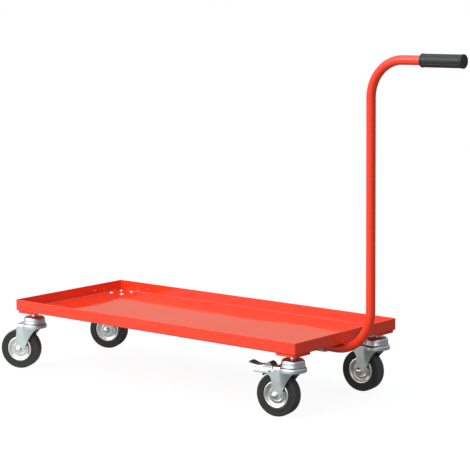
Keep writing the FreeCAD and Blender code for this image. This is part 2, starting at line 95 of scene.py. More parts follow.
PIVOT = Vector((-49.0, 0, 106.0))
PEDAL_HALF = 13.5
PEDAL_UNDER = 112.0
PEDAL_TOP = PEDAL_UNDER + 2.2
TOE_X = -106.0              # places along the pedal, from its toe to its end over the pivot
TOE_BEND_X = -91.5
RISE_FOOT_X = -70.0
RISE_TOP_X = -55.0
PEDAL_END_X = -45.6
TUBE_R = 10.65
TUBE_WALL = 2.0
LOW_BEND_R = 95.0
HIGH_BEND_R = 85.0
TUBE_BEYOND_TRAY = 64.7     # from the tray's end to the upright's axis
TUBE_SHORT_OF_GRIP = 5.0    # from the tube's end to the grip's closed end
PLATE_HALF = 31.0
PLATE_CUT = 8.0             # length of each cut corner along the plate's sides
BEARER_HALF = 20.0
SADDLE_HALF = 37.0
SADDLE_SHEET = 3.0
SADDLE_HALF_WIDTH = 14.0
SADDLE_BOLT_Y = 26.0


# ---- camera, light and floor ----

CAMERA_FROM_TRAY = Vector((2814.1, -3148.5, 952.5))     # from the ground below the tray's middle
CAMERA_TURN = math.radians(40.59)
CAMERA_TILT = math.radians(8.04)
CAMERA_ROLL = math.radians(-0.52)
CAMERA_LENS = 135.04


def put(name, data):
    """A new object in the scene."""
    made = bpy.data.objects.new(name, data)
    bpy.context.scene.collection.objects.link(made)
    return made


def make_camera():
    data = bpy.data.cameras.new("camera")
    data.sensor_width = 36.0
    data.lens = CAMERA_LENS
    camera = put("camera", data)
    below = Vector((TRAY_MIDDLE.x, TRAY_MIDDLE.y, 0))
    turn = Matrix.Rotation(CAMERA_TURN, 4, "Z")
    tilt = Matrix.Rotation(math.pi / 2 - CAMERA_TILT, 4, "X")
    roll = Matrix.Rotation(CAMERA_ROLL, 4, "Z")
    camera.matrix_world = Matrix.Translation((below + CAMERA_FROM_TRAY) * MM) @ turn @ tilt @ roll
    bpy.context.scene.camera = camera


def node(tree, kind, inputs=None, **settings):
    """A shader node with its settings, input values and links."""
    made = tree.nodes.new(kind)
    for key, value in settings.items():
        setattr(made, key, value)
    for key, value in (inputs or {}).items():
        if isinstance(value, bpy.types.NodeSocket):
            tree.links.new(value, made.inputs[key])
        else:
            made.inputs[key].default_value = value
    return made


def math_node(tree, operation, *values):
    return node(tree, "ShaderNodeMath", dict(enumerate(values)), operation=operation).outputs[0]


def times(tree, value, factor, plus=None):
    """The product of two values, with a third added where one is given."""
    if plus is None:
        return math_node(tree, "MULTIPLY", value, factor)
    return math_node(tree, "MULTIPLY_ADD", value, factor, plus)


def noise_value(tree, place, scale, detail=2.0):
    inputs = {"Vector": place, "Scale": scale, "Detail": detail}
    return node(tree, "ShaderNodeTexNoise", inputs).outputs["Fac"]


def feed(shader, label, value):
    shader.id_data.links.new(value, shader.inputs[label])


def mix_colour(tree, factor, first, second):
    inputs = {0: factor, 6: first, 7: second}
    return node(tree, "ShaderNodeMix", inputs, data_type="RGBA").outputs[2]


def spread(tree, value, low, high, to_low=0.0, to_high=1.0):
    inputs = {0: value, 1: low, 2: high, 3: to_low, 4: to_high}
    return node(tree, "ShaderNodeMapRange", inputs).outputs[0]


def make_world():
    """White to the camera; a bright sky, a dim horizon and a dark right-hand side for light and reflections."""
    world = bpy.data.worlds.new("studio")
    world.use_nodes = True
    tree = world.node_tree
    tree.nodes.clear()
    place = node(tree, "ShaderNodeTexCoord").outputs["Generated"]

    def towards(direction, low, high):
        aim = Vector(direction).normalized()
        facing = node(tree, "ShaderNodeVectorMath", {0: place, 1: aim}, operation="DOT_PRODUCT")
        return spread(tree, facing.outputs["Value"], low, high)

    sky = mix_colour(tree, towards((0, 0, 1), 0.20, 0.62), (0.50, 0.47, 0.40, 1), (1.00, 1.20, 1.50, 1))
    sky = mix_colour(tree, towards((-0.64, 0.75, 0.15), 0.55, 0.90), sky, (0.50, 0.43, 0.36, 1))
    sky = mix_colour(tree, towards((-0.24, -0.94, 0.26), 0.45, 0.92), sky, (2.2, 2.16, 2.08, 1))
    sky = mix_colour(tree, towards((0.93, 0.36, 0.10), 0.35, 0.85), sky, (0.26, 0.26, 0.28, 1))
    seen = node(tree, "ShaderNodeLightPath").outputs["Is Camera Ray"]
    colour = mix_colour(tree, seen, sky, (1.0, 1.0, 1.0, 1))
    back = node(tree, "ShaderNodeBackground", {"Color": colour, "Strength": 1.0})
    out = node(tree, "ShaderNodeOutputWorld")
    tree.links.new(back.outputs[0], out.inputs["Surface"])
    bpy.context.scene.world = world


def soft_box(name, place, aim, width, height, power, colour):
    data = bpy.data.lights.new(name, "AREA")
    data.shape = "RECTANGLE"
    data.size = width
    data.size_y = height
    data.energy = power
    data.color = colour
    lamp = put(name, data)
    lamp.location = place
    lamp.rotation_euler = (Vector(aim) - Vector(place)).to_track_quat("-Z", "Y").to_euler()


def make_lights():
    soft_box("key_soft_box", (-1.6, -3.8, 3.0), (0, 0, 0.2), 2.6, 2.6, 80, (1.0, 0.98, 0.95))
    soft_box("top_soft_box", (-0.3, 0.4, 4.2), (-0.1, 0, 0.1), 3.2, 2.2, 34, (0.86, 0.94, 1.0))


def make_floor():
    """Pale to the camera with only a faint shadow. To other surfaces it is a dimmer painted glow that lights
    them from below, with painted shade darkest behind the dolly for their reflections.
    """
    bm = bmesh.new()
    bmesh.ops.create_circle(bm, cap_ends=True, radius=60.0, segments=96)
    mesh = bpy.data.meshes.new("floor")
    bm.to_mesh(mesh)
    bm.free()
    floor = put("floor", mesh)
    material = bpy.data.materials.new("pale_floor")
    material.use_nodes = True
    tree = material.node_tree
    shader = tree.nodes["Principled BSDF"]
    place = node(tree, "ShaderNodeTexCoord").outputs["Object"]
    cloud = noise_value(tree, place, 1.3)
    feed(shader, "Base Color", mix_colour(tree, cloud, (0.07, 0.07, 0.07, 1), (0.10, 0.10, 0.10, 1)))
    # Painted shade: the floor's glow to other surfaces fades to dark behind and under the dolly.
    behind = node(tree, "ShaderNodeVectorMath", {0: place, 1: (0.55, 0.84, 0)}, operation="DOT_PRODUCT")
    below = spread(tree, behind.outputs["Value"], -0.60, -0.10)
    painted_glow_for_others = mix_colour(tree, below, (0.62, 0.64, 0.66, 1), (0.13, 0.13, 0.13, 1))
    seen = node(tree, "ShaderNodeLightPath").outputs["Is Camera Ray"]
    feed(shader, "Emission Color", mix_colour(tree, seen, painted_glow_for_others, (0.93, 0.93, 0.93, 1)))
    shader.inputs["Emission Strength"].default_value = 1.0
    shader.inputs["Roughness"].default_value = 0.9
    shader.inputs["Specular IOR Level"].default_value = 0.0
    mesh.materials.append(material)


# ---- effects shared by several materials ----

VECTOR_SOCKETS = ("Vector", "Centre", "Keep")


def group(name, inputs, outputs):
    """An empty node group; returns its tree, the values it is given and the sockets that it puts out."""
    tree = bpy.data.node_groups.new(name, "ShaderNodeTree")
    for way, labels in (("INPUT", inputs), ("OUTPUT", outputs)):
        for label in labels:
            kind = "NodeSocketVector" if label in VECTOR_SOCKETS else "NodeSocketFloat"
            tree.interface.new_socket(label, in_out=way, socket_type=kind)
    given = tree.nodes.new("NodeGroupInput").outputs[:len(inputs)]
    return tree, given, tree.nodes.new("NodeGroupOutput").inputs


def mottle_group():
    """Soft clouding from 0 to 1, coarse and fine together."""
    tree, (place, scale), out = group("mottle", ("Vector", "Scale"), ("Value",))
    coarse = noise_value(tree, place, scale)
    fine = noise_value(tree, place, times(tree, scale, 5.3), 4.0)
    both = math_node(tree, "ADD", times(tree, coarse, 0.62), times(tree, fine, 0.38))
    tree.links.new(spread(tree, both, 0.36, 0.64), out[0])
    return tree


def peel_group():
    """Height of sprayed and baked paint: shallow rounded bumps with fine grain on them."""
    tree, (place, scale), out = group("paint_peel", ("Vector", "Scale"), ("Height",))
    cells = node(tree, "ShaderNodeTexVoronoi", {"Vector": place, "Scale": scale}, feature="SMOOTH_F1")
    grain = noise_value(tree, place, times(tree, scale, 3.1))
    tree.links.new(times(tree, grain, 0.35, cells.outputs["Distance"]), out[0])
    return tree


def scratch_group():
    """Mask of thin straight scuffs in two directions."""
    tree, (place, scale), out = group("fine_scuffs", ("Vector", "Scale"), ("Mask",))
    masks = []
    for turn, stretch in ((0.35, (1.0, 34.0, 8.0)), (-0.9, (30.0, 1.2, 8.0))):
        turned_place = {"Vector": place, "Rotation": (0.1, 0.2, turn), "Scale": stretch}
        laid = node(tree, "ShaderNodeMapping", turned_place)
        masks.append(spread(tree, noise_value(tree, laid.outputs[0], scale, 3.0), 0.66, 0.72))
    tree.links.new(math_node(tree, "MAXIMUM", *masks), out[0])
    return tree


def plating_group():
    """Patchy brightness of zinc plate: small crystal cells under a slow cloud."""
    tree, (place, scale), out = group("zinc_plating", ("Vector", "Scale"), ("Value",))
    cells = node(tree, "ShaderNodeTexVoronoi", {"Vector": place, "Scale": scale})
    shade = node(tree, "ShaderNodeSeparateColor", {0: cells.outputs["Color"]}).outputs[0]
    cloud = spread(tree, noise_value(tree, place, times(tree, scale, 0.16), 5.0), 0.35, 0.65)
    tree.links.new(math_node(tree, "ADD", times(tree, shade, 0.3), times(tree, cloud, 0.7)), out[0])
    return tree


def ring_group():
    """Fine turning lines round an axis: Keep is 1 across the axis and 0 along it."""
    inputs = ("Vector", "Centre", "Keep", "Scale")
    tree, (place, centre, keep, scale), out = group("turning_lines", inputs, ("Value", "Radius"))
    from_axis = node(tree, "ShaderNodeVectorMath", {0: place, 1: centre}, operation="SUBTRACT")
    flat = node(tree, "ShaderNodeVectorMath", {0: from_axis.outputs[0], 1: keep}, operation="MULTIPLY")
    radius = node(tree, "ShaderNodeVectorMath", {0: flat.outputs[0]}, operation="LENGTH").outputs["Value"]
    lines = node(tree, "ShaderNodeTexNoise", {"W": radius, "Scale": scale, "Detail": 3.0},
                 noise_dimensions="1D")
    tree.links.new(lines.outputs["Fac"], out[0])
    tree.links.new(radius, out[1])
    return tree


def height_edge_group():
    """Edge rises from 0 to 1 between two heights; Mask is the same edge broken up along its length."""
    tree, (place, low, high), out = group("height_edge", ("Vector", "Low", "High"), ("Mask", "Edge"))
    height = node(tree, "ShaderNodeSeparateXYZ", {0: place}).outputs["Z"]
    edge = spread(tree, height, low, high)
    broken = spread(tree, noise_value(tree, place, 95.0, 5.0), 0.42, 0.62)
    tree.links.new(times(tree, edge, broken), out[0])
    tree.links.new(edge, out[1])
    return tree


MOTTLE = mottle_group()
PEEL = peel_group()
SCUFFS = scratch_group()
PLATING = plating_group()
RINGS = ring_group()
HEIGHT_EDGE = height_edge_group()


def use(tree, shared, **inputs):
    """Places a shared effect in a material with that material's own values."""
    return node(tree, "ShaderNodeGroup", inputs, node_tree=shared).outputs


def start_material(name, **constants):
    """A material with its shader's constants set; returns it with its tree, shader and coordinates."""
    material = bpy.data.materials.new(name)
    material.use_nodes = True
    tree = material.node_tree
    shader = tree.nodes["Principled BSDF"]
    for label, value in constants.items():
        shader.inputs[label.replace("_", " ")].default_value = value
    place = node(tree, "ShaderNodeTexCoord").outputs["Object"]
    return material, tree, shader, place


def darker(colour, share):
    return [channel * share for channel in colour[:3]] + [1]


def bump(tree, shader, height, depth_mm, strength):
    made = node(tree, "ShaderNodeBump", {"Height": height, "Distance": depth_mm * MM, "Strength": strength})
    feed(shader, "Normal", made.outputs[0])


def paint_material(name, full, wear_and_painted_light, edge_low, edge_high, gloss, peel):
    """Glossy baked paint with orange peel, faint scuffs, and upper edges lightened by rub wear and a painted
    highlight.
    """
    material, tree, shader, place = start_material(name, IOR=1.47)
    cloud = use(tree, MOTTLE, Vector=place, Scale=9.0)["Value"]
    scuffs = use(tree, SCUFFS, Vector=place, Scale=16.0)["Mask"]
    wear_and_highlight = use(tree, HEIGHT_EDGE, Vector=place, Low=edge_low * MM, High=edge_high * MM)["Mask"]
    colour = mix_colour(tree, cloud, darker(full, 0.93), full)
    colour = mix_colour(tree, times(tree, scuffs, 0.10), colour, wear_and_painted_light)
    # Wear and painted highlight: a lighter band along the upper edge.
    colour = mix_colour(tree, times(tree, wear_and_highlight, 0.45), colour, wear_and_painted_light)
    feed(shader, "Base Color", colour)
    rough = times(tree, cloud, 0.05, gloss)
    rough = times(tree, math_node(tree, "MAXIMUM", scuffs, wear_and_highlight), 0.14, rough)
    feed(shader, "Roughness", rough)
    bump(tree, shader, use(tree, PEEL, Vector=place, Scale=420.0)["Height"], 0.05, peel)
    return material


def zinc_material(name, pale, tinted, low_rough, high_rough, centre=None, keep=None, line_depth=0.0,
                  darkened_from=None):
    """Zinc-plated steel: patchy brightness, a slight tint and, on turned pieces, fine turning lines.

    Above the height given it turns dark: boot scuffing together with a painted dark reflection on the pedal's
    top.
    """
    material, tree, shader, place = start_material(name, Metallic=1.0)
    patches = use(tree, PLATING, Vector=place, Scale=230.0)["Value"]
    cloud = use(tree, MOTTLE, Vector=place, Scale=34.0)["Value"]
    scuffs = use(tree, SCUFFS, Vector=place, Scale=44.0)["Mask"]
    colour = mix_colour(tree, patches, darker(pale, 0.90), pale)
    colour = mix_colour(tree, times(tree, cloud, 0.5), colour, tinted)
    rough = spread(tree, patches, 0.0, 1.0, high_rough, low_rough)
    if darkened_from is not None:
        # Boot scuffing and painted dark reflection: the pedal's top is darkened above a height.
        wear_and_painted_light = use(tree, HEIGHT_EDGE, Vector=place, Low=(darkened_from - 1.6) * MM, High=darkened_from * MM)
        wear_and_dark_reflection = math_node(tree, "MAXIMUM", wear_and_painted_light["Mask"], times(tree, wear_and_painted_light["Edge"], 0.86))
        colour = mix_colour(tree, wear_and_dark_reflection, colour, (0.16, 0.17, 0.20, 1))
        rough = times(tree, wear_and_dark_reflection, 0.22, rough)
    feed(shader, "Base Color", colour)
    rough = times(tree, scuffs, 0.12, rough)
    grain = use(tree, PEEL, Vector=place, Scale=900.0)["Height"]
    if centre is not None:
        lines = use(tree, RINGS, Vector=place, Centre=centre * MM, Keep=keep, Scale=700.0)["Value"]
        rough = times(tree, lines, 0.08, rough)
        grain = times(tree, lines, line_depth, grain)
    feed(shader, "Roughness", rough)
    bump(tree, shader, grain, 0.02, 0.16)
    return material


def tyre_material():
    """Dark moulded rubber, bloomed grey, lighter and bluish on the rolling face from dust and a painted sheen,
    with painted shade on the side wall by the rim lip.
    """
    material, tree, shader, place = start_material("tyre_rubber", Specular_IOR_Level=0.42)
    cloud = use(tree, MOTTLE, Vector=place, Scale=60.0)["Value"]
    rings = use(tree, RINGS, Vector=place, Centre=AXLE * MM, Keep=(1, 0, 1), Scale=900.0)
    colour = mix_colour(tree, cloud, (0.009, 0.009, 0.010, 1), (0.022, 0.021, 0.016, 1))
    tread = spread(tree, rings["Radius"], (WHEEL_R - 4.2) * MM, (WHEEL_R - 0.3) * MM)
    # Dust and painted sheen: the rolling face and outer shoulders turn lighter and bluish.
    dust_and_sheen = times(tree, tread, times(tree, cloud, 0.35, 0.25))
    # Painted shade on the side wall next to the rim lip.
    painted_shade_by_lip = spread(tree, rings["Radius"], (RIM_LIP_R + 6.5) * MM, (RIM_LIP_R + 1.0) * MM)
    colour = mix_colour(tree, times(tree, painted_shade_by_lip, 0.7), colour, (0.012, 0.013, 0.020, 1))
    feed(shader, "Base Color", mix_colour(tree, dust_and_sheen, colour, (0.105, 0.118, 0.118, 1)))
    feed(shader, "Roughness", times(tree, cloud, 0.16, 0.50))
    grain = use(tree, PEEL, Vector=place, Scale=1300.0)["Height"]
    bump(tree, shader, times(tree, rings["Value"], 0.8, grain), 0.06, 0.35)
    return material


def plastic_material(name, dark, light, low_rough, grain_scale):
    """Moulded plastic or rubber with a fine matt grain."""
    material, tree, shader, place = start_material(name)
    cloud = use(tree, MOTTLE, Vector=place, Scale=70.0)["Value"]
    feed(shader, "Base Color", mix_colour(tree, cloud, dark, light))
    feed(shader, "Roughness", times(tree, cloud, 0.14, low_rough))
    bump(tree, shader, use(tree, PEEL, Vector=place, Scale=grain_scale)["Height"], 0.05, 0.4)
    return material


PALE_ZINC = (0.78, 0.81, 0.82, 1)
SWIVEL_AXIS = Vector((0, 0, 0))
ABOUT_Z = (1, 1, 0)
ABOUT_Y = (1, 0, 1)
RED = (0.86, 0.046, 0.014, 1)
# Lighter red for scuffs and rubbed edges, matched to the rim's highlight: wear and painted highlight.
WEAR_AND_HIGHLIGHT_RED = (0.95, 0.20, 0.12, 1)

MATERIALS = {
    # The tray's rim top gets a band of rub wear and painted highlight; the tube's band along its top (next
    # line) is a painted highlight.
    "red_paint": paint_material("red_paint", RED, WEAR_AND_HIGHLIGHT_RED, TRAY_HIGH.z - 1.4, TRAY_HIGH.z, 0.06, 0.07),
    "red_tube_paint": paint_material("red_tube_paint", (0.88, 0.045, 0.014, 1), WEAR_AND_HIGHLIGHT_RED, 798.0, 812.0, 0.14,
                                     0.05),
    "zinc_plate": zinc_material("zinc_cup", PALE_ZINC, (0.74, 0.78, 0.83, 1), 0.16, 0.30,
                                SWIVEL_AXIS, ABOUT_Z, 1.2),
    "zinc_fork": zinc_material("zinc_fork", (0.70, 0.77, 0.75, 1), (0.62, 0.70, 0.66, 1), 0.27, 0.42),
    # The pedal's top is darkened: boot wear and a painted dark reflection.
    "zinc_pedal": zinc_material("zinc_pedal", (0.78, 0.80, 0.80, 1), (0.70, 0.72, 0.74, 1), 0.26, 0.38,
                                darkened_from=PEDAL_TOP + 1.4),
    "zinc_rim": zinc_material("zinc_rim", (0.84, 0.86, 0.84, 1), (0.78, 0.78, 0.66, 1), 0.17, 0.26,
                              AXLE, ABOUT_Y, 0.2),
    "zinc_strap": zinc_material("zinc_strap", PALE_ZINC, (0.74, 0.76, 0.72, 1), 0.26, 0.42),
    "bright_screws": zinc_material("bright_screws", (0.86, 0.87, 0.88, 1), (0.80, 0.82, 0.86, 1), 0.12, 0.24),
    "bearing_steel": zinc_material("bearing_steel", (0.72, 0.73, 0.75, 1), (0.66, 0.64, 0.60, 1), 0.06, 0.14),
    "tyre_rubber": tyre_material(),
    "brake_rubber": plastic_material("brake_rubber", (0.020, 0.020, 0.020, 1), (0.040, 0.038, 0.036, 1), 0.62,
                                     900.0),
    "grip_plastic": plastic_material("grip_plastic", (0.008, 0.009, 0.011, 1), (0.017, 0.018, 0.021, 1), 0.30,
                                     1500.0),
    "nylon_bush": plastic_material("nylon_bush", (0.62, 0.60, 0.54, 1), (0.74, 0.72, 0.66, 1), 0.42, 700.0),
}


# ---- mesh tools ----

def arc_points(a, b, c, steps):
    """Points on the arc from a through b to c, both ends included."""
    ax, ay = a
    bx, by = b
    cx, cy = c
    twice_area = 2 * (ax * (by - cy) + bx * (cy - ay) + cx * (ay - by))
    aa, bb, cc = ax * ax + ay * ay, bx * bx + by * by, cx * cx + cy * cy
    ux = (aa * (by - cy) + bb * (cy - ay) + cc * (ay - by)) / twice_area
    uy = (aa * (cx - bx) + bb * (ax - cx) + cc * (bx - ax)) / twice_area
    radius = math.hypot(ax - ux, ay - uy)
    start, middle, end = (math.atan2(y - uy, x - ux) for x, y in (a, b, c))
    sweep = (end - start) % math.tau
    if (middle - start) % math.tau > sweep:
        sweep -= math.tau
    turns = [start + sweep * k / steps for k in range(steps + 1)]
    return [(ux + radius * math.cos(t), uy + radius * math.sin(t)) for t in turns]


def rounded(points, radius, steps=4):
    """A closed outline with its corners rounded; radius is one value or one for each corner."""
    radii = radius if isinstance(radius, (list, tuple)) else [radius] * len(points)
    out = []
    for k, here in enumerate(points):
        here = Vector(here)
        before = Vector(points[k - 1]) - here
        after = Vector(points[(k + 1) % len(points)]) - here
        corner = before.angle(after)
        reach = radii[k] / math.tan(corner / 2) if corner < math.pi - 0.02 else 0.0
        reach = min(reach, before.length * 0.48, after.length * 0.48)
        if reach < 0.02:
            out.append(tuple(here))
            continue
        start = here + before.normalized() * reach
        end = here + after.normalized() * reach
        for j in range(steps + 1):
            t = j / steps
            out.append(tuple(start * (1 - t) ** 2 + here * 2 * t * (1 - t) + end * t ** 2))
    return out


def join_rings(bm, first, second):
    """Quads between two rings of the same count, or triangles to a single point."""
    count = max(len(first), len(second))
    for k in range(count):
        a, b = first[k % len(first)], first[(k + 1) % len(first)]
        c, d = second[(k + 1) % len(second)], second[k % len(second)]
        corners = list(dict.fromkeys((a, b, c, d)))
        if len(corners) > 2:
            bm.faces.new(corners)


def skin(bm, rings):
    """Faces between each ring and the next."""
    for first, second in zip(rings, rings[1:]):
        join_rings(bm, first, second)


def quarter(steps):
    """Angles over a quarter turn, both ends included."""
    return [math.pi / 2 * k / steps for k in range(steps + 1)]


def lathe(bm, profile, segments, place=None, flats=()):
    """Turns a profile of (radius, height) about Z. Rings named in flats are hexagons of that reach."""
    place = place or Matrix.Identity(4)
    rings = []
    for index, (radius, height) in enumerate(profile):
        if radius < 1e-4:
            rings.append([bm.verts.new(place @ Vector((0, 0, height)))])
            continue
        ring = []
        for k in range(segments):
            turn = math.tau * k / segments
            reach = radius
            if index in flats:
                reach /= math.cos((turn + math.pi / 6) % (math.pi / 3) - math.pi / 6)
            spot = Vector((reach * math.cos(turn), reach * math.sin(turn), height))
            ring.append(bm.verts.new(place @ spot))
        rings.append(ring)
    closed = profile[0][0] > 1e-4 and profile[-1][0] > 1e-4
    for k in range(len(rings) - (0 if closed else 1)):
        join_rings(bm, rings[k], rings[(k + 1) % len(rings)])


def turned(profile, segments, place=None, flats=()):
    """A new shape turned from one profile."""
    bm = bmesh.new()
    lathe(bm, profile, segments, place, flats)
    return bm


def slab(bm, outline, low, high, place):
    """A flat plate: outline in the first two axes, from low to high along the third, then placed."""
    bottom = [bm.verts.new(place @ Vector((x, y, low))) for x, y in outline]
    top = [bm.verts.new(place @ Vector((x, y, high))) for x, y in outline]
    bm.faces.new(bottom[::-1])
    bm.faces.new(top)
    join_rings(bm, bottom, top)


SIDEWAYS = Matrix.Rotation(math.pi / 2, 4, "X")       # outline in X and Z, thickness towards -Y
ACROSS = Matrix.Rotation(-math.pi / 2, 4, "X")        # a lathe's axis laid along Y
ON_AXLE = Matrix.Translation(AXLE) @ ACROSS


def soften(bm, width, segments, angle=35.0):
    """Rounds every edge sharper than the angle."""
    bm.normal_update()
    sharp = [e for e in bm.edges if len(e.link_faces) == 2 and e.calc_face_angle(0) > math.radians(angle)]
    bmesh.ops.bevel(bm, geom=sharp, offset=width, segments=segments, profile=0.5, affect="EDGES",
                    clamp_overlap=True)


def merge(bm, other):
    """Adds one shape's mesh to another."""
    mesh = bpy.data.meshes.new("spare")
    other.to_mesh(mesh)
    other.free()
    bm.from_mesh(mesh)
    bpy.data.meshes.remove(mesh)


def piece(name, bm, body, slot_name, replaced, place=None, look=None):
    """Makes the finished object: scaled, smooth shaded with crisp edges, riding on its body."""
    bmesh.ops.remove_doubles(bm, verts=bm.verts, dist=1e-4)
    bmesh.ops.recalc_face_normals(bm, faces=bm.faces)
    for face in bm.faces:
        face.smooth = True
    for edge in bm.edges:
        edge.smooth = len(edge.link_faces) == 2 and edge.calc_face_angle(0) < math.radians(40)
    bm.transform(TO_METRES)
    mesh = bpy.data.meshes.new(name)
    bm.to_mesh(mesh)
    bm.free()
    return show(name, mesh, body, slot_name, replaced, place, look)


def show(name, mesh, body, slot_name, replaced, place=None, look=None):
    """Puts a finished mesh in the scene as one piece of a body."""
    made = put(name, mesh)
    if place is not None:
        made.matrix_world = place
    if not mesh.materials:
        mesh.materials.append(MATERIALS[look or slot_name])
    crisp = made.modifiers.new("crisp_normals", "WEIGHTED_NORMAL")
    crisp.keep_sharp = True
    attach(made, body)
    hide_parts(*replaced)
    return made


# ---- tray ----

def tray_loop(inset, height, corner, steps=8):
    """A rounded rectangle of the tray's outline, moved in by inset."""
    low_x, high_x = TRAY_LOW.x + inset, TRAY_HIGH.x - inset
    low_y, high_y = TRAY_LOW.y + inset, TRAY_HIGH.y - inset
    centres = ((high_x - corner, high_y - corner, 0), (low_x + corner, high_y - corner, 1),
               (low_x + corner, low_y + corner, 2), (high_x - corner, low_y + corner, 3))
    points = []
    for x, y, quarter in centres:
        for k in range(steps + 1):
            turn = (quarter + k / steps) * math.pi / 2
            points.append(Vector((x + corner * math.cos(turn), y + corner * math.sin(turn), height)))
    return points


def cut_up(bm, faces, step):
    """Divides flat faces into a grid, so that they can be bent."""
    geometry = list(faces)
    geometry += {edge for face in faces for edge in face.edges}
    geometry += {vert for face in faces for vert in face.verts}
    for axis in (0, 1, 2):
        values = [item.co[axis] for item in geometry if isinstance(item, bmesh.types.BMVert)]
        low, high = min(values), max(values)
        if high - low < step:
            continue
        count = int((high - low) / step)
        for k in range(1, count + 1):
            point = Vector((0, 0, 0))
            point[axis] = low + (high - low) * k / (count + 1)
            normal = Vector((0, 0, 0))
            normal[axis] = 1
            cut = bmesh.ops.bisect_plane(bm, geom=geometry, plane_co=point, plane_no=normal, dist=1e-4)
            geometry = cut["geom"]


def dented(x, y, depth):
    """Slow waviness of thin sheet."""
    return depth * noise.noise(Vector((x / 150.0, y / 120.0, 3.7)))


def make_tray():
    """Folded pan: rounded folds, a soft cut rim, and a floor that is slightly wavy like real sheet."""
    bm = bmesh.new()
    top, base = TRAY_HIGH.z, TRAY_LOW.z
    fold, inner_fold, rim, outer_corner = 4.0, 3.2, 0.55, 4.5
    profile = [(fold * (1 - math.sin(t)), base + fold * (1 - math.cos(t))) for t in quarter(6)]
    profile += [(0, top - rim), (rim * 0.3, top - rim * 0.3), (rim, top)]
    profile += [(SHEET - rim, top), (SHEET - rim * 0.3, top - rim * 0.3), (SHEET, top - rim)]
    profile += [(SHEET + inner_fold * (1 - math.cos(t)), FLOOR_TOP + inner_fold * (1 - math.sin(t)))
                for t in quarter(5)]
    rings = []
    for inset, height in profile:
        corner = max(outer_corner - inset, 0.8)
        rings.append([bm.verts.new(p) for p in tray_loop(inset, height, corner)])
    skin(bm, rings)
    for face in (bm.faces.new(rings[0][::-1]), bm.faces.new(rings[-1])):
        cut_up(bm, [face], 24.0)
    level_edge, border, wave = 6.0, 60.0, 0.7
    for vert in bm.verts:
        flat = abs(vert.co.z - FLOOR_TOP) < 1e-3 or abs(vert.co.z - base) < 1e-3
        from_edge = min(vert.co.x - TRAY_LOW.x, TRAY_HIGH.x - vert.co.x, vert.co.y - TRAY_LOW.y,
                        TRAY_HIGH.y - vert.co.y)
        if flat and from_edge > level_edge:
            share = min(1.0, (from_edge - level_edge) / border)
            vert.co.z += dented(vert.co.x, vert.co.y, wave) * share * share
    piece("tray_pan", bm, "frame", "red_paint", ["tray"])


def below_swivel(caster):
    """Where a caster's swivel axis meets the ground, in millimetres."""
    x, y, _ = JOINTS[caster + "_swivel"]["pos_m"]
    return Vector((x / MM, y / MM, 0))


def screw_places():
    """Centres of the four screws over each caster."""
    half = SCREW_PITCH / 2
    return [below_swivel(caster) + Vector((i * half, j * half, 0))
            for caster in CASTERS for i in (-1, 1) for j in (-1, 1)]


def make_plates():
    """Corner plates with cut corners, painted with the tray."""
    bm = bmesh.new()
    half, short = PLATE_HALF, PLATE_HALF - PLATE_CUT
    outline = [(-short, -half), (short, -half), (half, -short), (half, short),
               (short, half), (-short, half), (-half, short), (-half, -short)]
    for caster in CASTERS:
        slab(bm, rounded(outline, 2.0, 3), PLATE_BOTTOM, TRAY_LOW.z, Matrix.Translation(below_swivel(caster)))
    soften(bm, 1.2, 3)
    piece("corner_plates", bm, "frame", "red_paint", ["mounting_plates"])


def make_screws():
    """Button-head screws with hexagon sockets."""
    bm = bmesh.new()
    dome = [(6.3, 0), (6.3, 0.5), (6.0, 0.8), (5.0, 0.95), (4.7, 1.4), (4.1, 1.95), (3.3, 2.4), (2.6, 2.6),
            (2.05, 2.65)]
    profile = [(0, -6.4), (2.6, -6.4), (3.0, -6.0), (3.0, 0)] + dome + [(1.75, 2.5), (1.75, 1.0), (0, 0.7)]
    sockets = (len(profile) - 3, len(profile) - 2)
    for place in screw_places():
        at = Matrix.Translation(place + Vector((0, 0, FLOOR_TOP)))
        lathe(bm, profile, 24, at @ Matrix.Rotation(place.x * 0.7 + place.y, 4, "Z"), sockets)
    piece("floor_screws", bm, "frame", "bright_screws", ["plate_screws"])


# ---- handle ----

def tube_line():
    """Centre line of the handle with the direction at each station."""
    tube_low, tube_high = node_box("handle_tube")
    grip_high = node_box("handle_grip")[1]
    low = tube_low.z + TUBE_R
    high = tube_high.z - TUBE_R
    up_x = TRAY_HIGH.x + TUBE_BEYOND_TRAY
    line = [(Vector((tube_low.x, 0, low)), 0.0)]
    low_centre = Vector((up_x - LOW_BEND_R, 0, low + LOW_BEND_R))
    high_centre = Vector((up_x + HIGH_BEND_R, 0, high - HIGH_BEND_R))
    for turn in quarter(22):
        line.append((low_centre + LOW_BEND_R * Vector((math.sin(turn), 0, -math.cos(turn))), turn))
    for turn in quarter(22):
        line.append((high_centre + HIGH_BEND_R * Vector((-math.cos(turn), 0, math.sin(turn))),
                     math.pi / 2 - turn))
    line.append((Vector((grip_high.x - TUBE_SHORT_OF_GRIP, 0, high)), 0.0))
    return line


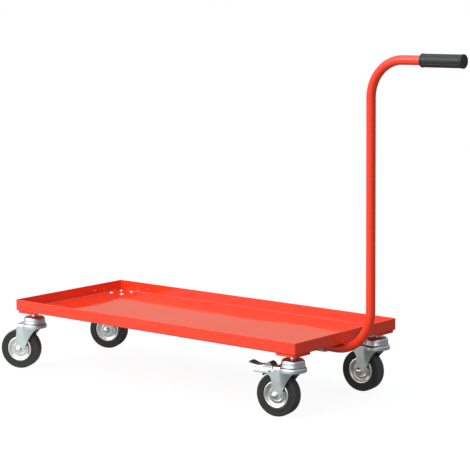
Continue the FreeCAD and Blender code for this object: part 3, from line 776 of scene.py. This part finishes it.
def make_tube():
    """Bent tube, slightly flattened in its bends as a real bend is, open at its hidden end."""
    bm = bmesh.new()
    line = tube_line()
    around = 48
    rings = []

    def ring(centre, turn, radius, squash):
        up = Vector((-math.sin(turn), 0, math.cos(turn)))
        out = []
        for k in range(around):
            a = math.tau * k / around
            offset = up * (radius * squash * math.cos(a)) + Vector((0, radius / squash * math.sin(a), 0))
            out.append(bm.verts.new(centre + offset + Vector((0, TRAY_MIDDLE.y, 0))))
        return out

    start = line[0][0]
    bore = TUBE_R - TUBE_WALL
    for along, radius in ((60.0, bore), (0.4, bore), (0.0, bore + 0.4), (0.0, TUBE_R - 0.4), (0.4, TUBE_R)):
        rings.append(ring(start + Vector((along, 0, 0)), 0.0, radius, 1.0))
    steps = (len(line) - 2) // 2
    for index, (centre, turn) in enumerate(line[1:-1]):
        share = (index % steps) / (steps - 1)
        rings.append(ring(centre, turn, TUBE_R, 1.0 - 0.025 * math.sin(math.pi * share)))
    rings.append(ring(line[-1][0], 0.0, TUBE_R, 1.0))
    skin(bm, rings)
    bm.faces.new(rings[0])
    bm.faces.new(rings[-1])
    piece("push_tube", bm, "frame", "red_tube_paint", ["handle_tube"])


def make_grip():
    """Moulded grip: rows of small raised pads between a near collar and a larger closed end."""
    bm = bmesh.new()
    grip_low, grip_high = node_box("handle_grip")
    length = grip_high.x - grip_low.x
    middle_z = node_box("handle_tube")[1].z - TUBE_R
    pad_r, groove_r, collar = 14.8, 13.9, 15.6
    pads, per_pad, columns = 18, 8, 17
    around = pads * per_pad
    near, far = 4.6, length - 5.6
    pitch = (far - near) / columns
    stations = [(0.0, TUBE_R + 0.06), (0.0, 14.2), (0.5, 15.0), (1.4, 15.4), (3.0, 15.4), (3.9, 15.0),
                (4.4, 14.1)]
    for k in range(columns):
        at = near + k * pitch
        after = at + pitch
        stations += [(at + 0.7, groove_r), (at + 1.3, None), (after - 1.3, None), (after - 0.7, groove_r)]
    stations += [(length - 5.2, 14.3), (length - 4.6, 15.0), (length - 3.8, collar), (length - 1.6, collar),
                 (length - 0.7, collar - 0.5), (length - 0.1, collar - 1.8), (length, collar - 3.2),
                 (length - 0.5, 10.4), (length - 0.6, 3.2), (length - 1.6, 2.4), (length - 1.8, 0.0)]
    rings = []
    for along, reach in stations:
        centre = Vector((grip_low.x + along, TRAY_MIDDLE.y, middle_z))
        if reach == 0.0:
            rings.append([bm.verts.new(centre)])
            continue
        ring = []
        for k in range(around):
            a = math.tau * k / around
            r = reach
            if reach is None:
                r = groove_r if k % per_pad < 3 else pad_r
            ring.append(bm.verts.new(centre + Vector((0, r * math.sin(a), r * math.cos(a)))))
        rings.append(ring)
    skin(bm, rings)
    mouth = [bm.verts.new(v.co + Vector((8.0, 0, 0))) for v in rings[0]]
    join_rings(bm, mouth, rings[0])
    bm.faces.new(mouth)
    piece("hand_grip", bm, "frame", "grip_plastic", ["handle_grip"])


def weld_bead(bm, start, end, radius, seed):
    """A rippled weld bead along a straight joint."""
    along = end - start
    direction = along.normalized()
    side = direction.cross(Vector((0, 0, 1))).normalized()
    up = side.cross(direction)
    count = max(6, int(along.length / 1.4))
    rings = []
    for k in range(count + 1):
        t = k / count
        ripple = 0.14 * math.sin(k * 2.1 + seed) + 0.08 * noise.noise(Vector((k * 0.7, seed, 0)))
        swell = radius * (1.0 + ripple)
        swell *= min(1.0, 0.35 + 4 * min(t, 1 - t))
        ring = []
        for j in range(8):
            a = math.tau * j / 8
            out = side * (swell * math.cos(a)) + up * (swell * math.sin(a))
            ring.append(bm.verts.new(start + along * t + out))
        rings.append(ring)
    skin(bm, rings)
    bm.faces.new(rings[0])
    bm.faces.new(rings[-1])


def saddle_places():
    """Where the two bearers lie along the tube."""
    low, high = node_box("handle_bearers")
    return low.x + BEARER_HALF, high.x - BEARER_HALF


def make_bearers():
    """Flat bars across under the floor, with a weld bead along each side."""
    bm = bmesh.new()
    low, high = node_box("handle_bearers")
    places, half = saddle_places(), BEARER_HALF
    for x in places:
        corners = [(x - half, low.y), (x + half, low.y), (x + half, high.y), (x - half, high.y)]
        slab(bm, rounded(corners, 1.2, 2), low.z, high.z, Matrix.Identity(4))
    soften(bm, 0.5, 2)
    for index, x in enumerate(places):
        for side in (-1, 1):
            edge, height = x + side * (half + 0.6), high.z - 0.7
            ends = Vector((edge, low.y + 6, height)), Vector((edge, high.y - 6, height))
            weld_bead(bm, *ends, 1.6, index * 2 + side)
    piece("cross_bearers", bm, "frame", "red_paint", ["handle_bearers"])


def make_saddles():
    """Pressed straps that hold the tube up against the bearers."""
    bm = bmesh.new()
    seat = node_box("handle_bearers")[0].z
    axis_z = seat - TUBE_R
    under = seat - SADDLE_SHEET
    inner, ear = TUBE_R + 0.1, SADDLE_HALF
    outer, bend = inner + SADDLE_SHEET, 1.6

    def half_ring(radius):
        turns = [math.pi * k / 16 for k in range(17)]
        return [(radius * math.cos(t), axis_z - radius * math.sin(t)) for t in turns]

    outline = [(ear, seat), (ear, under), (outer + bend, under), (outer, under - bend)]
    outline += half_ring(outer)
    outline += [(-outer, under - bend), (-outer - bend, under), (-ear, under), (-ear, seat), (-inner, seat)]
    outline += half_ring(inner)[::-1]
    outline += [(inner, seat)]
    along_x = Matrix(((0, 0, 1, 0), (1, 0, 0, TRAY_MIDDLE.y), (0, 1, 0, 0), (0, 0, 0, 1)))
    for x in saddle_places():
        slab(bm, outline, x - SADDLE_HALF_WIDTH, x + SADDLE_HALF_WIDTH, along_x)
    soften(bm, 0.5, 2)
    piece("tube_saddles", bm, "frame", "zinc_plate", ["handle_saddles"], look="zinc_strap")


def make_saddle_bolts():
    """Hexagon bolts with washers under the saddles."""
    bm = bmesh.new()
    seat = node_box("handle_bearers")[0].z - SADDLE_SHEET
    for x in saddle_places():
        for side in (-1, 1):
            at = Matrix.Translation((x, TRAY_MIDDLE.y + side * SADDLE_BOLT_Y, seat))
            down = at @ Matrix.Rotation(math.pi, 4, "X") @ Matrix.Rotation(0.4 * side, 4, "Z")
            head = [(0, -8.0), (4.0, -8.0), (4.0, 0.0), (6.5, 0.0), (6.5, 4.5), (6.0, 5.3), (0, 5.3)]
            lathe(bm, head, 36, down, (3, 4))
            lathe(bm, [(0, 0.02), (8.0, 0.02), (8.2, 0.4), (8.0, 1.2), (0, 1.2)], 36, down)
    piece("saddle_hex_bolts", bm, "frame", "bright_screws", ["saddle_bolts"])


# ---- caster head ----

def caster_place(caster):
    """Where a caster's own frame stands: swivel axis at its origin, wheel trailing towards -X."""
    swivel = JOINTS[caster + "_swivel"]["pos_m"]
    axle = JOINTS[caster + "_wheel_spin"]["axis"]
    turn = math.atan2(-axle[0], axle[1])
    return Matrix.Translation((swivel[0], swivel[1], 0)) @ Matrix.Rotation(turn, 4, "Z")


def cup_shape():
    """Pressed upper race: a dome with a rolled lower edge."""
    outer = [(COLLAR_R - 0.9, CUP_TOP), (14.0, CUP_TOP), (15.0, CUP_TOP - 0.5), (17.0, CUP_TOP - 0.6)]
    outer += arc_points((17.8, CUP_TOP - 0.6), (24.6, CUP_TOP - 3.4), (CUP_R - 1.1, CUP_TOP - 11.0), 14)
    outer += [(CUP_R - 0.5, CUP_BOTTOM + 4.0), (CUP_R, CUP_BOTTOM + 1.2), (CUP_R - 0.1, CUP_BOTTOM + 0.3),
              (CUP_R - 0.6, CUP_BOTTOM)]
    inner = [(CUP_R - 2.0, CUP_BOTTOM), (CUP_R - 2.5, CUP_BOTTOM + 0.5), (CUP_R - 2.5, CUP_TOP - 8.0)]
    inner += arc_points((CUP_R - 2.5, CUP_TOP - 5.6), (CUP_R - 3.4, CUP_TOP - 3.4),
                        (CUP_R - 5.6, CUP_TOP - 2.5), 6)
    inner += [(COLLAR_R - 0.9, CUP_TOP - 2.5)]
    return turned(outer + inner, 96)


def pin_shape():
    """King pin: riveted top, collar on the cup, race plate and riveted end below the crown."""
    profile = [(0, TRAY_LOW.z - 0.1), (5.4, TRAY_LOW.z - 0.1), (6.0, TRAY_LOW.z - 0.7), (6.0, PLATE_BOTTOM),
               (COLLAR_R - 0.4, PLATE_BOTTOM), (COLLAR_R, PLATE_BOTTOM - 0.4), (COLLAR_R, CUP_TOP + 0.5),
               (COLLAR_R - 0.4, CUP_TOP), (6.0, CUP_TOP), (6.0, 121.2), (15.8, 121.2), (16.5, 120.5),
               (16.5, 117.9), (15.8, 117.2), (9.4, 115.4), (9.0, 114.8), (9.0, 109.0), (8.2, 108.2),
               (5.6, 108.2), (5.0, 107.6), (5.0, 105.9), (4.3, 105.2), (0, 105.2)]
    return turned(profile, 48)


def crown_shape():
    """Round head of the fork: skirt, rolled shoulder, and the ball track drawn up inside the cup."""
    skirt_in = RING_R - LEG_SHEET
    profile = [(RING_R - 0.5, CROWN_BOTTOM), (RING_R, CROWN_BOTTOM + 0.5)]
    profile += arc_points((RING_R, RING_TOP - 5.0), (RING_R - 1.46, RING_TOP - 1.46),
                          (RING_R - 5.0, RING_TOP), 8)
    profile += [(25.4, RING_TOP), (24.3, RING_TOP + 0.3), (18.8, 128.8), (18.0, 129.4), (6.1, 129.4),
                (6.1, 126.4), (16.6, 126.4), (17.2, 126.0), (21.6, 113.0), (22.4, RING_TOP - LEG_SHEET),
                (skirt_in - 1.2, RING_TOP - LEG_SHEET), (skirt_in, RING_TOP - LEG_SHEET - 1.2),
                (skirt_in, CROWN_BOTTOM + 0.5), (skirt_in + 0.5, CROWN_BOTTOM)]
    return turned(profile, 96)


def leg_outline(brake):
    """Side outline of a fork leg; the braked one reaches back to carry the pedal."""
    ax, az, r = AXLE.x, AXLE.z, LEG_END_R
    front_low = (ax + r + 4, az + 4)
    rear_low = (ax - r + 4, az + 3)
    points = [(CREASE_X - 1.0, CROWN_TOP)] + arc_points((17, CROWN_TOP), (-8.5, 77), front_low, 14)
    points += arc_points(front_low, (ax + 3, az - r + 1), rear_low, 14)[1:]
    head = [(LEG_REAR_X, HEAD_TOP), (CREASE_X - 1.0, HEAD_TOP)]
    if not brake:
        return points + head
    bend = (ax - r + 4, 81)
    flare = (ax - r - 6.5, ARM_BOTTOM)
    points += arc_points(bend, (ax - r + 1, 91), flare, 8)
    end_r = (ARM_TOP - ARM_BOTTOM) / 2 - 0.4
    heel = ARM_REAR_X + end_r
    points += arc_points((heel, ARM_BOTTOM), (ARM_REAR_X, ARM_BOTTOM + end_r + 0.4), (heel, ARM_TOP), 10)
    return points + [(LEG_REAR_X, ARM_TOP)] + head


def leg_stand_off(x, z):
    """How far the leg's outer face stands out from its flat part."""
    out = 0.0
    if x > CREASE_X - 3:
        ring_y = math.sqrt(max(RING_R ** 2 - x * x, 0)) - 0.4
        rise = min(1.0, max(0.0, (z - 70.0) / (CROWN_BOTTOM - 70.0)))
        out = max(0.0, ring_y - LEG_OUT) * rise ** 1.3
        blend = min(1.0, max(0.0, (x - CREASE_X + 3) / 4.0))
        out *= blend * blend * (3 - 2 * blend)
    top = HEAD_TOP if x > LEG_REAR_X - 1.5 else ARM_TOP
    over = min(z - top + FOLD, FOLD * 0.96)
    if x < CREASE_X and over > 0:
        out -= 0.8 * (FOLD - math.sqrt(FOLD ** 2 - over ** 2))
    return out


def leg_shape(brake, side):
    """One pressed leg: flat behind its crease, drawn out in front of it to meet the round crown."""
    bm = bmesh.new()
    face = bm.faces.new([bm.verts.new((x, 0, z)) for x, z in leg_outline(brake)])
    cut_up(bm, [face], 2.6)
    outer = list(bm.verts)
    faces = list(bm.faces)
    rim = [edge for edge in bm.edges if len(edge.link_faces) == 1]
    inner = {vert: bm.verts.new(vert.co) for vert in outer}
    for face in faces:
        bm.faces.new([inner[v] for v in reversed(face.verts)])
    for edge in rim:
        a, b = edge.verts
        bm.faces.new((a, b, inner[b], inner[a]))
    for vert in outer:
        stand = leg_stand_off(vert.co.x, vert.co.z)
        vert.co.y = side * (LEG_OUT + stand)
        inner[vert].co.y = side * max(LEG_OUT + stand - LEG_SHEET, LEG_CLEAR)
    bmesh.ops.recalc_face_normals(bm, faces=bm.faces)
    soften(bm, 0.7, 2, 60.0)
    return bm


def fork_shape(brake):
    """Crown, saddle plate behind it and two legs."""
    bm = crown_shape()
    saddle = bmesh.new()
    inner_r = RING_R - 2.0
    edge = LEG_OUT - 0.7 * FOLD
    start = math.atan2(edge, -math.sqrt(inner_r ** 2 - edge ** 2))
    hollow = [(inner_r * math.cos(t), inner_r * math.sin(t)) for t in
              [start + (math.tau - 2 * start) * k / 14 for k in range(15)]]
    outline = hollow + [(LEG_REAR_X + 1, -edge), (LEG_REAR_X, -edge + 1), (LEG_REAR_X, edge - 1),
                        (LEG_REAR_X + 1, edge)]
    slab(saddle, outline, HEAD_TOP - LEG_SHEET, HEAD_TOP, Matrix.Identity(4))
    soften(saddle, 0.6, 2, 60.0)
    merge(bm, saddle)
    for side in (-1, 1):
        merge(bm, leg_shape(brake, side))
    return bm


# ---- wheel ----

def tyre_shape():
    """Solid tyre: nearly square shoulders, a step round each side wall and a fine mould seam."""
    half = TYRE_HALF
    side = [(24.9, 5.2), (27.8, 12.4), (RIM_LIP_R + 0.4, 12.5), (RIM_LIP_R + 0.9, half - 0.5),
            (RIM_LIP_R + 1.7, half - 0.1), (35.6, half), (36.1, half - 0.45), (43.2, half - 0.45),
            (43.7, half - 0.05), (44.6, half)]
    side += arc_points((WHEEL_R - 4.4, half - 0.05), (WHEEL_R - 1.3, half - 1.15),
                       (WHEEL_R - 0.25, half - 4.2), 7)
    side += [(WHEEL_R - 0.12, 6.5), (WHEEL_R - 0.05, 0.9), (WHEEL_R - 0.02, 0.45), (WHEEL_R, 0.3)]
    return turned(side + [(r, -y) for r, y in reversed(side)], 128, ON_AXLE)


def rim_shape(side):
    """Pressed half rim: hub collar, cone, dished web, wall and rolled bright lip."""
    face, lip = RIM_LIP_FACE, RIM_LIP_R
    outline = [(10.1, 13.6), (12.0, 13.6), (15.6, 8.8), (18.6, 8.2), (22.4, 8.2), (25.6, face - 1.4),
               (27.2, face + 0.1), (29.0, face + 0.4), (lip - 0.6, face - 0.1), (lip, face - 1.0),
               (lip, face - 1.7), (27.5, face - 1.8), (24.3, 5.2), (15.4, 5.6), (11.8, 11.2), (10.1, 11.2)]
    radii = [0.4, 0.8, 2.0, 0.1, 2.0, 1.2, 1.6, 3.0, 0.8, 0.4, 0.4, 1.0, 1.0, 1.0, 0.8, 0.2]
    return turned([(r, side * y) for r, y in rounded(outline, radii, 4)], 96, ON_AXLE)


def axle_bolt_shape():
    """Bolt with a domed hexagon head and washer, threaded at its far end."""
    seat, end, pitch = -LEG_OUT, LEG_OUT + 9.5, 1.25
    head = [(0, seat - 5.6), (2.4, seat - 5.45), (4.6, seat - 4.9), (6.3, seat - 4.0), (7.3, seat - 3.0),
            (7.5, seat - 2.2), (7.5, seat - 1.3)]
    profile = head + [(5.0, seat - 1.3), (5.0, LEG_OUT)]
    thread = LEG_OUT
    while thread < end - 1.6:
        profile += [(5.0, thread + 0.3), (4.5, thread + 0.75), (5.0, thread + 1.2)]
        thread += pitch
    profile += [(4.9, end - 0.9), (4.0, end), (0, end)]
    bm = turned(profile, 48, ON_AXLE, (5, 6))
    washer = [(5.1, seat - 1.3), (8.7, seat - 1.3), (9.0, seat - 1.0), (9.0, seat - 0.1), (5.1, seat - 0.1)]
    lathe(bm, washer, 48, ON_AXLE)
    return bm


def axle_nut_shape():
    """Lock nut with chamfered corners and a rounded collar."""
    profile = [(5.05, 0), (7.5, 0), (7.5, 4.9), (6.9, 5.4), (6.6, 6.9), (6.0, 7.5), (5.05, 7.5)]
    return turned([(r, LEG_OUT + y) for r, y in profile], 48, ON_AXLE, (1, 2))


# ---- brake ----

def tread_height(x):
    """Height of the pedal's upper face along its length."""
    if x < TOE_BEND_X:
        return PEDAL_TOP + 0.8 + (TOE_BEND_X - x) / 10.0 * 3.6
    if x < RISE_FOOT_X:
        share = (x - TOE_BEND_X) / (RISE_FOOT_X - TOE_BEND_X)
        return PEDAL_TOP + 0.8 * (1 - share) + 1.6 * share - 1.6 * math.sin(math.pi * share)
    if x < RISE_TOP_X:
        share = (x - RISE_FOOT_X) / (RISE_TOP_X - RISE_FOOT_X)
        return PEDAL_TOP + 1.6 + 6.8 * share * share * (3 - 2 * share)
    share = min(1.0, (x - RISE_TOP_X) / 9.4)
    return PEDAL_UNDER + 10.6 - 8.0 * share * share


def flange_bottom(x):
    """Lower edge of the pedal's side flanges: shallow at the toe, deep along the arms and over the pivot."""
    toe_end, arm_start, arm_end = -92.0, -89.0, -61.0
    shallow = tread_height(min(x, toe_end)) - 2.4
    if x < toe_end:
        return shallow
    if x < arm_start:
        return shallow + (PIVOT.z - shallow) * (x - toe_end) / (arm_start - toe_end)
    if x < arm_end:
        return PIVOT.z - 1.5 * (x - arm_start) / (arm_end - arm_start)
    return PIVOT.z - 1.5 - 2.8 * min(1.0, (x - arm_end) / 8.0)


def pedal_shape():
    """Pressed channel with rounded shoulders, an upturned toe and a raised release toe."""
    bm = bmesh.new()
    sheet, shoulder = 2.0, 3.2
    stations = [TOE_X + 1.5 * k for k in range(40)] + [PEDAL_END_X - 0.6, PEDAL_END_X]
    rings = []
    for x in stations:
        top, bottom = tread_height(x), flange_bottom(x)
        reach = PEDAL_HALF - 0.4 * max(0.0, TOE_X + 2.5 - x)
        bend = min(shoulder, max(0.8, top - bottom - 0.4))
        outer = [(-reach, bottom), (-reach, top - bend)]
        outer += [(-reach + bend * (1 - math.cos(t)), top - bend * (1 - math.sin(t))) for t in quarter(5)[1:]]
        outer += [(-reach * 0.4, top), (reach * 0.4, top)]
        outer += [(-y, z) for y, z in reversed(outer[:7])]
        inner = []
        for y, z in reversed(outer):
            inner.append((y * (reach - sheet) / reach, min(z, top - sheet) if z > bottom + 0.1 else z))
        rings.append([bm.verts.new((x, y, z)) for y, z in outer + inner])
    skin(bm, rings)
    bm.faces.new(rings[0][::-1])
    bm.faces.new(rings[-1])
    bmesh.ops.recalc_face_normals(bm, faces=bm.faces)
    soften(bm, 0.4, 2, 60.0)
    rib = [(0, -9.0), (0.5, -8.9), (0.9, -8.0), (0.9, 8.0), (0.5, 8.9), (0, 9.0)]
    for x in (-88.0, -84.0, -80.0, -76.0):
        lathe(bm, rib, 12, Matrix.Translation((x, 0, tread_height(x) - 0.1)) @ SIDEWAYS)
    return bm


def shoe_shape():
    """Curved friction block on its post."""
    bm = bmesh.new()
    inner = WHEEL_R + 3.4
    outer = inner + 6.0
    post_rear, post_middle, post_front = -69, -64, -60

    def on_ring(radius, x):
        return (x, AXLE.z + math.sqrt(radius ** 2 - (x - AXLE.x) ** 2))

    xs = [-72 + 2 * k for k in range(8)]
    pad = [on_ring(inner, x) for x in xs] + [on_ring(outer, x) for x in reversed(xs)]
    half = PEDAL_HALF - 2.05
    slab(bm, pad, -half, half, SIDEWAYS)
    top = PEDAL_UNDER - 0.1
    post = [on_ring(inner + 3, x) for x in (post_rear, post_middle, post_front)]
    post += [(post_front, top), (post_rear, top)]
    slab(bm, post, -8.0, 8.0, SIDEWAYS)
    soften(bm, 0.5, 2, 50.0)
    return bm


def brake_pin_shape():
    """Pivot pin with a domed rivet head on each side."""
    head = [(3.0, 0), (4.4, 0), (4.6, 0.3), (4.3, 1.0), (3.0, 1.5), (0, 1.6)]
    half = [(r, LEG_OUT + y) for r, y in head]
    return turned([(r, -y) for r, y in reversed(half)] + half, 32, Matrix.Translation(PIVOT) @ ACROSS)


def make_casters():
    """Each caster's pieces; pieces of one shape share one mesh."""
    shapes = {
        "swivel_cup": ("zinc_plate", cup_shape, "frame"),
        "king_pin": ("bright_screws", pin_shape, "frame"),
        "axle_bolt": ("bright_screws", axle_bolt_shape, "caster"),
        "axle_nut": ("bright_screws", axle_nut_shape, "caster"),
        "tyre": ("tyre_rubber", tyre_shape, "wheel"),
        "rim_outer": ("zinc_rim", lambda: rim_shape(-1), "wheel"),
        "rim_inner": ("zinc_rim", lambda: rim_shape(1), "wheel"),
        "brake_pedal": ("zinc_pedal", pedal_shape, "brake_lever"),
        "brake_shoe": ("brake_rubber", shoe_shape, "brake_lever"),
        "brake_pin": ("bright_screws", brake_pin_shape, "caster"),
    }
    meshes = {}
    for caster in CASTERS:
        place = caster_place(caster)
        brake = caster in BRAKED
        parts = {key: value for key, value in shapes.items() if brake or not key.startswith("brake")}
        fork_key = "fork_braked" if brake else "fork_plain"
        parts[fork_key] = ("zinc_fork", lambda brake=brake: fork_shape(brake), "caster")
        for key, (slot_name, shape, part_body) in parts.items():
            body = "frame" if part_body == "frame" else f"{caster}_{part_body}"
            cad_node = f"{caster}_fork" if key == fork_key else f"{caster}_{key}"
            name = f"{cad_node}_piece"
            if key in meshes:
                show(name, meshes[key], body, slot_name, [cad_node], place)
            else:
                meshes[key] = piece(name, shape(), body, slot_name, [cad_node], place).data


def dress_hidden_nodes():
    """Sealed bearing pieces keep the frame's own shape and get their finish."""
    for caster in CASTERS:
        for part, slot_name in (("race_balls", "bearing_steel"), ("axle_sleeve", "bright_screws"),
                                ("hub_bush", "nylon_bush")):
            mesh = frame["nodes"][f"{caster}_{part}"].data
            mesh.materials.clear()
            mesh.materials.append(MATERIALS[slot_name])


make_camera()
make_world()
make_lights()
make_floor()
make_tray()
make_plates()
make_screws()
make_tube()
make_grip()
make_bearers()
make_saddles()
make_saddle_bolts()
make_casters()
dress_hidden_nodes()

settings = bpy.context.scene.view_settings
settings.view_transform = "Standard"
settings.look = "None"
